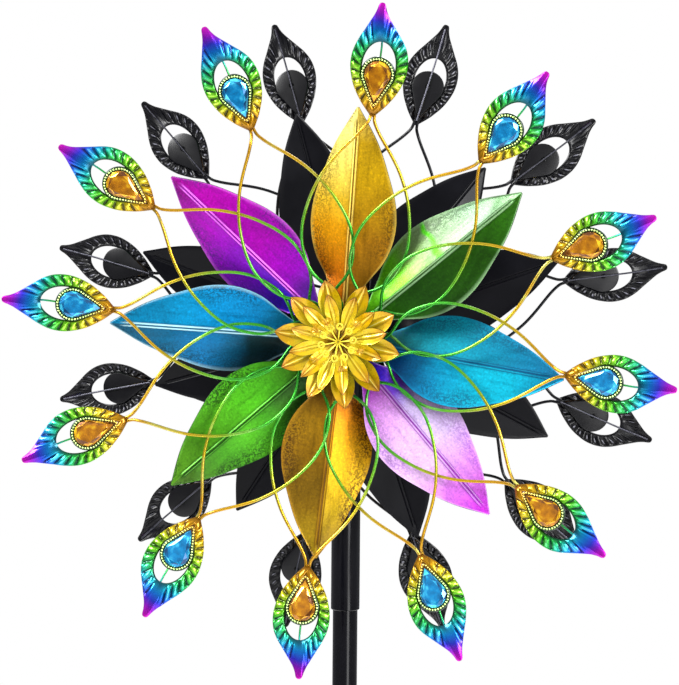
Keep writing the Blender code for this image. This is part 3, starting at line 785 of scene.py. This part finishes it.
def inner_edge(turn):
    """How far the plate's inner edge is from the eye's middle: at the cup, or past the opening."""
    radius, reach = CUP[0] - 0.6, CUP[1] - CUP[2] + 3
    touch = math.pi - math.acos(radius / reach)
    cup = radius if abs(turn) < touch else radius / math.cos(abs(turn) - touch)
    away = OPENING_CENTRE - EYE
    square = (math.cos(turn) / OPENING_DEPTH) ** 2 + (math.sin(turn) / OPENING_HALF) ** 2
    linear = -away * math.cos(turn) / OPENING_DEPTH**2
    rest = (away / OPENING_DEPTH) ** 2 - 1
    opening = (-linear + math.sqrt(linear * linear - square * rest)) / square
    return max(cup, opening)


def feather_rim(bent):
    """The fluted plate between the gem's cup, the opening and the outer edge."""
    edge = feather_edge(FLUTES * 12, bent)
    rows = np.array([0, 0.06, 0.14, 0.25, 0.38, 0.5, 0.62, 0.74, 0.84, 0.92, 0.97, 1.0])
    points = np.zeros((len(rows), len(edge), 3))
    along, flutes, ring = (np.zeros(points.shape[:2]) for _ in range(3))
    for column, (out_x, out_z) in enumerate(edge):
        turn = math.atan2(out_z, out_x - EYE)
        reach = inner_edge(turn)
        in_x, in_z = EYE + reach * math.cos(turn), reach * math.sin(turn)
        width = math.hypot(out_x - in_x, out_z - in_z)
        dome = min(3.0, 0.3 * width)
        fluted = blend(out_x, 2, 10) * (1 - blend(out_x, 84, 96))
        for row, share in enumerate(rows):
            phase = math.pi * (FLUTES * column / len(edge) + 0.1 * share)
            wave = (math.sqrt(0.06 + math.sin(phase) ** 2) - 0.245) / 0.785
            shown = blend(share, 0.12, 0.4) * (1 - blend(share, 0.86, 0.98))
            swell = math.sin(math.pi * min(share, 1) ** 0.85) ** 0.8 if 0 < share < 1 else 0
            height = 0.7 * (1 - share) + dome * swell - 2 * (1 - wave) * shown * fluted
            x, z = in_x + (out_x - in_x) * share, in_z + (out_z - in_z) * share
            points[row, column] = (x, -height, z)
            along[row, column] = x / FEATHER_LENGTH
            # flute runs from -1 in the valleys to +1 on the crests; the lacquer lays its painted shade and
            # painted highlight by it.
            flutes[row, column] = (2 * wave - 1) * shown * fluted
            ring[row, column] = share
    values = {"along": along, "flute": flutes, "ring": ring}
    return thickened("rim", sheet("rim", points * MM, values, closed=True), FEATHER_THICKNESS * MM, -1)


def eye_ring(size, forward, count, first=0):
    ring = teardrop(*size, count, first)
    return [((EYE + x) * MM, -forward * MM, z * MM) for x, z in ring]


def cup_mesh():
    """The gem's cup: a dished band in front and a flat disc with a dimple behind."""
    levels = (
        (0.04, -0.7), (0.11, -0.8), (0.16, -1.5), (0.91, -1.6), (0.975, -1.3), (1, -0.6), (1, 1.7),
        (0.975, 2.4), (0.93, 2.7), (0.79, 2.5), (0.76, 2.0),
    )
    rings = []
    for scale, forward in levels:
        rings.append(eye_ring([size * scale for size in CUP], forward, 72))
    return loft("cup", rings)


def bead_mesh():
    work = bmesh.new()
    for place in eye_ring(BEADS, 3.1, BEAD_COUNT):
        bmesh.ops.create_icosphere(
            work, subdivisions=2, radius=BEAD_RADIUS * MM, matrix=Matrix.Translation(place)
        )
    mesh = bpy.data.meshes.new("beads")
    work.to_mesh(mesh)
    work.free()
    return mesh


def gem_mesh(number):
    """A foil-backed stone: girdle, two rows of narrow facets round a wide flat table."""
    sides = 9
    rings = [
        eye_ring(GEM, 2.3, 2 * sides), eye_ring(GEM, 3.5, 2 * sides),
        eye_ring(GEM_CROWN, 5.3, sides, 1), eye_ring(GEM_TABLE, 6.2, sides),
    ]
    work = bmesh.new()
    base, girdle, crown, top = ([work.verts.new(point) for point in ring] for ring in rings)
    for here in range(2 * sides):
        beside = (here + 1) % (2 * sides)
        work.faces.new((base[here], base[beside], girdle[beside], girdle[here]))
    for here in range(sides):
        beside = (here + 1) % sides
        work.faces.new((girdle[2 * here], girdle[2 * here + 1], crown[here]))
        work.faces.new((girdle[2 * here + 1], girdle[2 * beside], crown[here]))
        work.faces.new((girdle[2 * beside], crown[beside], crown[here]))
        work.faces.new((crown[here], crown[beside], top[beside]))
        work.faces.new((crown[here], top[beside], top[here]))
    work.faces.new(top)
    work.faces.new(base[::-1])
    bmesh.ops.recalc_face_normals(work, faces=work.faces)
    mesh = bpy.data.meshes.new("gem")
    work.to_mesh(mesh)
    work.free()
    # Each facet's painted reflection: its share along the gem's dark-to-bright colours, with the nine-sided
    # table at 0.5.
    painted_glints = (0.25, 0.6, 0.4, 0.8, 0.1, 0.5, 0.15, 0.95, 0.3, 0.2, 0.7)
    shares = []
    for face in mesh.polygons:
        painted_glint = painted_glints[(face.index * 5 + number * 3) % len(painted_glints)]
        shares.append(0.5 if len(face.vertices) == sides else painted_glint)
    facet = mesh.attributes.new("facet", "FLOAT", "FACE")
    facet.data.foreach_set("value", shares)
    return mesh


def spine_mesh(bent):
    """The wire behind the plate, painted where it shows through the opening."""
    steps = np.linspace(-1.5, 97, 30)
    path = [(x * MM, 2.9 * MM, bent * blend(x, *FEATHER_HOOKED) * MM) for x in steps]
    mesh = tubes("spine", [path], 0.9 * MM)
    along = [vertex.co.x / MM / FEATHER_LENGTH for vertex in mesh.vertices]
    # flute 0.7 gives the spine's painted face a little of the feather's painted highlight; ring 1 keeps the
    # groove's painted shade off it.
    for key, values in (("along", along), ("flute", [0.7] * len(along)), ("ring", [1] * len(along))):
        mesh.attributes.new(key, "FLOAT", "POINT").data.foreach_set("value", values)
    facing = [4 if face.normal.y > -0.12 else PAINTED for face in mesh.polygons]
    mesh.polygons.foreach_set("material_index", facing)
    return mesh


def feather_mesh(bent):
    """Plate, cup, beads and the spine wire behind them, as one piece."""
    cup = cup_mesh()
    centres = [face.center.y for face in cup.polygons]
    cup.polygons.foreach_set("material_index", [2 if y < 0.3 * MM else BACK for y in centres])
    pieces = [(feather_rim(bent), None), (cup, None), (bead_mesh(), 3), (spine_mesh(bent), None)]
    return joined("feather", pieces)


def add_feathers(prefix, to_row):
    plate = feather_mesh(FEATHER_HOOK[prefix])
    for index in range(12):
        node = f"{prefix}_feather_{index + 1:02d}"
        place = to_row @ feather_place(node, to_row)
        paints = (FEATHER, BLACK_FEATHER, CUP_BAND, BEAD, SPINE)
        feather = add(f"{prefix}_feather_plate_{index + 1:02d}", plate.copy(), paints)
        feather.matrix_world = place
        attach(feather, f"{prefix}_rotor")
        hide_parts(node)
        slot, paint = GEMS[index % 2]
        gem = add(f"{prefix}_gem_{index + 1:02d}", gem_mesh(index), (paint,), smooth=False)
        gem.matrix_world = place
        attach(gem, f"{prefix}_rotor")


# Wires


def wire_path(angle, side):
    """One wire's centre line in metres: side is 1 for the anticlockwise wire, in front."""
    path = []
    for radius in np.linspace(WIRE_START, WIRE_SWING[-1][0], WIRE_POINTS):
        turn = angle + side * math.radians(through(WIRE_SWING, radius))
        share = (radius - WIRE_START) / (FEATHER_BASE_RADIUS - WIRE_START)
        forward = WIRE_START_FORWARD + (FEATHER_BASE_FORWARD - WIRE_START_FORWARD) * share
        forward += WIRE_BOW * math.sin(math.pi * share) + side * WIRE_LAYER
        forward += (WIRE_END_FORWARD - forward) * blend(radius, 192, 207)
        path.append((radius * math.cos(turn) * MM, -forward * MM, radius * math.sin(turn) * MM))
    return path


def add_wires(prefix, to_row):
    paths = []
    for index in range(12):
        base = feather_place(f"{prefix}_feather_{index + 1:02d}", to_row).translation
        angle = math.atan2(base.z, base.x)
        paths += [wire_path(angle, side) for side in (1, -1)]
    ring = turned("ring", rounded(list(WIRE_RING), 0.001))
    ring.transform(Matrix.Rotation(math.pi / 2, 4, "X"))
    mesh = joined("wires", [(tubes("bars", paths, WIRE_RADIUS * MM, 5), 0), (ring, 0)])
    # Faces turned back or close to side-on take the black: the wire's real black back, and along each side a
    # painted dark outline.
    facing = [BACK if face.normal.y > -0.12 else PAINTED for face in mesh.polygons]
    mesh.polygons.foreach_set("material_index", facing)
    wires = add(f"{prefix}_wires", mesh, (WIRE, BLACK_SHEET))
    wires.matrix_world = to_row
    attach(wires, f"{prefix}_rotor")
    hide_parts(f"{prefix}_wire_frame")


# Flower


def petal_mesh(petal, root_forward, tip_forward, curl):
    """One creased petal, cupped at its edges; curl rolls its tip back toward the middle."""
    angle, length, half = petal
    shape = ((0, 0.3), (0.25, 0.55), (0.6, 1), (0.82, 0.78), (0.94, 0.36), (1, 0.04))
    points, along, fold = [], [], []
    for share in np.linspace(0, 1, PETAL_ROWS):
        wide = half * through(shape, share)
        rolled = curl * blend(share, 0.62, 1.0)
        distance = 2.5 + (length - 2.5) * share
        lift = root_forward + (tip_forward - root_forward) * share**1.6
        turned_back = 4.2 * (1 - math.cos(rolled)), 4.2 * math.sin(rolled)
        if curl:
            held = 2.5 + (length - 2.5) * min(share, 0.7)
            distance = held + turned_back[1]
            lift = root_forward + (tip_forward - root_forward) * min(share, 0.7) + turned_back[0]
        for side in np.linspace(-1, 1, PETAL_COLUMNS):
            ridge = math.exp(-((side / 0.11) ** 2))
            veins = 0.28 * math.cos(side * 9.5) * (1 - abs(side))
            cupped = 0.22 * wide * side * side + 0.5 * ridge + veins
            forward = lift + cupped
            points.append((distance * MM, -forward * MM, side * wide * MM))
            along.append(share)
            # fold is positive on the middle ridge and the edges and negative in the vein creases: the
            # lacquer's painted highlight and painted shade follow it.
            crease = math.exp(-(((abs(side) - 0.25) / 0.13) ** 2))
            fold.append(ridge + 0.5 * blend(abs(side), 0.85, 1) - 1.1 * crease)
    grid = np.array(points).reshape(PETAL_ROWS, PETAL_COLUMNS, 3)
    mesh = thickened("petal", sheet("petal", grid, {"along": along, "fold": fold}), 0.8 * MM, 0)
    if curl:
        mesh.polygons.foreach_set("material_index", [PAINTED] * len(mesh.polygons))
    mesh.transform(Matrix.Rotation(-math.radians(angle), 4, "Y"))
    return mesh


def stamen_meshes():
    """Ten bent stems, each ending in a small ring."""
    made = []
    paths = []
    for index in range(STAMENS):
        angle = math.radians(STAMEN_TURN + 360 / STAMENS * index)
        outward = Vector((math.cos(angle), 0, math.sin(angle)))
        front = Vector((0, -1, 0))
        stem = [
            outward * (1 + (STAMEN_RADIUS - 1) * share) + front * (86 + 9 * share**0.6)
            for share in np.linspace(0, 1, 10)
        ]
        paths.append([tuple(point * MM) for point in stem])
        ring = turned("stamen", rounded(list(STAMEN_RING), 0.0005), 28)
        ring.transform(Matrix.Translation(stem[-1] * MM) @ Matrix.Rotation(math.pi / 2, 4, "X"))
        made.append(ring)
    made.append(tubes("stems", paths, 0.7 * MM, 2))
    for mesh in made:
        count = len(mesh.vertices)
        # The stems and rings take the petals' brightest yellow and, from fold 0.6, part of the painted
        # highlight colour.
        for key, value in (("along", 0.42), ("fold", 0.6)):
            mesh.attributes.new(key, "FLOAT", "POINT").data.foreach_set("value", [value] * count)
    return made


def add_flower(prefix, to_row):
    outer = [petal_mesh(petal, 77.5, 83.5, 0) for petal in OUTER_PETALS]
    inner = [petal_mesh(petal, 81, 91, 0) for petal in INNER_PETALS]
    inner += [petal_mesh(petal, 84, 93, 3.6) for petal in CURLED_PETALS]
    inner += stamen_meshes()
    for ring, meshes in (("outer", outer), ("inner", inner)):
        pieces = [(mesh, None) for mesh in meshes]
        # The petals' backs and cut edges take the black sheet lacquer; the black edges also serve as painted
        # shade, dark outlines between the petals.
        flower = add(f"{prefix}_{ring}_petals", joined(ring, pieces), (FLOWER, BLACK_SHEET))
        flower.matrix_world = to_row
        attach(flower, f"{prefix}_rotor")
        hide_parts(f"{prefix}_flower_{ring}")


# Hub, axle, pole and fork


def add_turned(name, node, profile, body, paint, axle=False):
    """A smooth turned piece in place of the faceted CAD one; axle ones lie along Y."""
    made = add(name, turned(name, profile), (paint,))
    if axle:
        side = "rear" if node.startswith("rear") else "front"
        made.matrix_world = rotor_frame(side) @ Matrix.Rotation(math.pi / 2, 4, "X")
    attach(made, body)
    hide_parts(node)
    return made


def tube(outer, inner, low, high, corner=0.4 * MM):
    return rounded([(outer, high), (outer, low), (inner, low), (inner, high)], corner)


def span(node, axis):
    """A CAD node's lowest and highest coordinate along one axis, 0 to 2 for X to Z."""
    low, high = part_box(node)
    return low[axis], high[axis]


def radius_of(node):
    low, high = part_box(node)
    return (high.x - low.x) / 2


def add_pole():
    for node in ("pole_lower", "pole_middle", "pole_upper", "fork_socket", "head_sleeve"):
        low, high = span(node, 2)
        outer = radius_of(node)
        if node in ("pole_middle", "pole_upper"):
            below = {"pole_middle": "pole_lower", "pole_upper": "pole_middle"}[node]
            seam = span(below, 2)[1] + TUBE_GAP
            plug = outer - TUBE_WALL - 0.35 * MM
            inner = plug - TUBE_WALL
            corners = [(outer, high), (outer, seam), (plug, seam), (plug, low), (inner, low), (inner, high)]
            profile = rounded(corners, 0.5 * MM)
        elif node == "head_sleeve":
            profile = tube(outer, TUBE_BORE, low, HUB.z - 14.6 * MM, 0.6 * MM)
        else:
            inner = outer - TUBE_WALL if node == "pole_lower" else TUBE_BORE
            profile = tube(outer, inner, low, high)
        add_turned(f"{node}_tube", node, profile, "stand", BLACK)


def add_fork():
    """The plate at the soil line with its four pointed prongs."""
    reach = radius_of("ground_fork")
    depth = span("ground_fork", 2)[0]
    plate = turned("plate", rounded([(reach, 0.004), (reach, 0), (0.0001, 0), (0.0001, 0.004)], 0.0008))
    spike = [
        (0.004, 0.002), (0.004, depth + 0.02), (0.0008, depth), (0.0001, depth), (0.0001, 0.002),
    ]
    prong = turned("prong", spike, 24)
    pieces = [(plate, 0)]
    for quarter in range(4):
        angle = math.radians(45 + 90 * quarter)
        placed = prong.copy()
        outward = Vector((math.cos(angle), math.sin(angle), 0))
        placed.transform(Matrix.Translation(outward * PRONG_CIRCLE))
        pieces.append((placed, 0))
    fork = add("ground_fork_steel", joined("fork", pieces), (BLACK,))
    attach(fork, "stand")
    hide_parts("ground_fork")


def add_hubs():
    for prefix in ("front", "rear"):
        hub, bush = f"{prefix}_hub", f"{prefix}_bearing_bush"
        body = f"{prefix}_rotor"
        turning = rounded(list(HUB_PROFILE), 0.0006)
        sleeve = tube(0.009, 0.00408, 0.031, 0.0615)
        add_turned(f"{hub}_body", hub, turning, body, BLACK, True)
        add_turned(f"{prefix}_bush", bush, sleeve, body, BRONZE, True)
    cross = tube(0.015, 0.0043, -0.026, 0.026, 1 * MM)
    add_turned("crosstube", "head_crosstube", cross, "stand", BLACK, True)
    bar = rounded(list(AXLE_PROFILE), 0.0006)
    add_turned("axle_bar", "axle", bar, "stand", STEEL, True)
    for node in ("axle_nut_front", "axle_nut_rear"):
        nut = frame["nodes"][node]
        nut.data.materials.clear()
        nut.data.materials.append(STEEL)


# Stage


def add_camera():
    camera = bpy.data.objects.new("camera", bpy.data.cameras.new("camera"))
    bpy.context.scene.collection.objects.link(camera)
    camera.data.lens = CAMERA_LENS
    camera.data.sensor_width = 36
    camera.data.clip_start = 0.01
    turn = (
        Matrix.Rotation(CAMERA_YAW, 4, "Z")
        @ Matrix.Rotation(CAMERA_PITCH, 4, "X")
        @ Matrix.Rotation(CAMERA_ROLL, 4, "Y")
    )
    # a Blender camera looks along its own -Z, so it is first tipped from looking down to along +Y
    camera.matrix_world = Matrix.Translation(CAMERA_PLACE) @ turn @ Matrix.Rotation(math.pi / 2, 4, "X")
    bpy.context.scene.camera = camera


def add_softbox(name, place, size, power):
    light = bpy.data.objects.new(name, bpy.data.lights.new(name, "AREA"))
    bpy.context.scene.collection.objects.link(light)
    light.data.shape = "RECTANGLE"
    light.data.size, light.data.size_y = size
    light.data.energy = power
    light.location = HUB + Vector(place)
    light.rotation_euler = (-Vector(place)).to_track_quat("-Z", "Y").to_euler()


def add_world():
    """A white backdrop; as a light it is bright overhead and dim round the horizon."""
    world = bpy.data.worlds.new("studio")
    bpy.context.scene.world = world
    world.use_nodes = True
    tree = world.node_tree
    nodes, links = tree.nodes, tree.links
    shade = nodes["Background"]
    plain = nodes.new("ShaderNodeBackground")
    place = nodes.new("ShaderNodeTexCoord")
    parts = nodes.new("ShaderNodeSeparateXYZ")
    ramp = nodes.new("ShaderNodeValToRGB")
    height = nodes.new("ShaderNodeMath")
    path = nodes.new("ShaderNodeLightPath")
    choice = nodes.new("ShaderNodeMixShader")
    links.new(place.outputs["Generated"], parts.inputs[0])
    height.operation = "MULTIPLY_ADD"
    height.inputs[1].default_value = 0.5
    height.inputs[2].default_value = 0.5
    links.new(parts.outputs["Z"], height.inputs[0])
    links.new(height.outputs[0], ramp.inputs["Fac"])
    horizon, overhead = ramp.color_ramp.elements
    horizon.position, horizon.color = HORIZON_AT, HORIZON_LIGHT
    overhead.position, overhead.color = OVERHEAD_AT, OVERHEAD_LIGHT
    links.new(ramp.outputs[0], shade.inputs["Color"])
    plain.inputs["Color"].default_value = (1, 1, 1, 1)
    links.new(path.outputs["Is Camera Ray"], choice.inputs[0])
    links.new(shade.outputs[0], choice.inputs[1])
    links.new(plain.outputs[0], choice.inputs[2])
    links.new(choice.outputs[0], nodes["World Output"].inputs["Surface"])


def add_floor():
    depth = span("ground_fork", 2)[0]
    work = bmesh.new()
    bmesh.ops.create_circle(work, cap_ends=True, segments=96, radius=FLOOR_RADIUS)
    mesh = bpy.data.meshes.new("floor")
    work.to_mesh(mesh)
    work.free()
    paint = Paint("pale_floor")
    paint.finish(paint.ramp(paint.noise(3, 3), ((0.3, "ececec"), (0.7, "f2f2f2"))), 0.8)
    floor = add("floor", mesh, (paint.material,))
    floor.location.z = depth - 0.5 * MM


bpy.context.scene.view_settings.view_transform = "Standard"
add_camera()
add_world()
for softbox in SOFTBOXES:
    add_softbox(*softbox)
add_floor()

for side in ("front", "rear"):
    placed = rotor_frame(side)
    add_leaves(side, placed)
    add_feathers(side, placed)
    add_wires(side, placed)
    add_flower(side, placed)
add_hubs()
add_pole()
add_fork()
